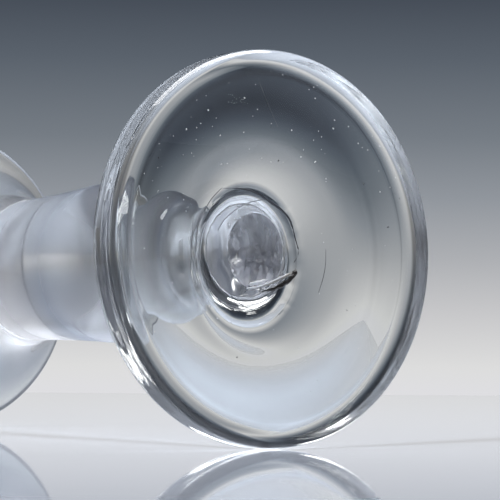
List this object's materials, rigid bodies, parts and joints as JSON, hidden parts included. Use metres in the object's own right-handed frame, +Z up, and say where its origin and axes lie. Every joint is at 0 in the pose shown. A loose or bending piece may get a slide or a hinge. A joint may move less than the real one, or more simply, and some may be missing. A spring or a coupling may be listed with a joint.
{
  "type": "firing glass",
  "caption": "Short heavy drinking glass with a trumpet bowl on a solid swelling stem with a narrow neck above a thick hollowed disc foot, with a snapped pontil scar underneath",
  "frame": {"origin": "centre of the flat ring that the foot stands on", "axes": "+Z up the glass's axis from the foot to the rim; +X and +Y across it, the pontil scar's torn ledge lying on the +Y side"},
  "size_m": [0.064, 0.064, 0.1056],
  "materials": {
    "foot_glass": "polished clear grey-tinted lead glass, worn on the contact ring",
    "stem_glass": "polished clear grey-tinted lead glass",
    "bowl_glass": "polished clear grey-tinted lead glass with a fire-polished lip",
    "pontil_scar_glass": "rough snapped glass"
  },
  "bodies": {
    "root": {"foot": "foot_glass", "stem": "stem_glass", "bowl": "bowl_glass", "pontil_scar": "pontil_scar_glass"}
  },
  "joints": []
}
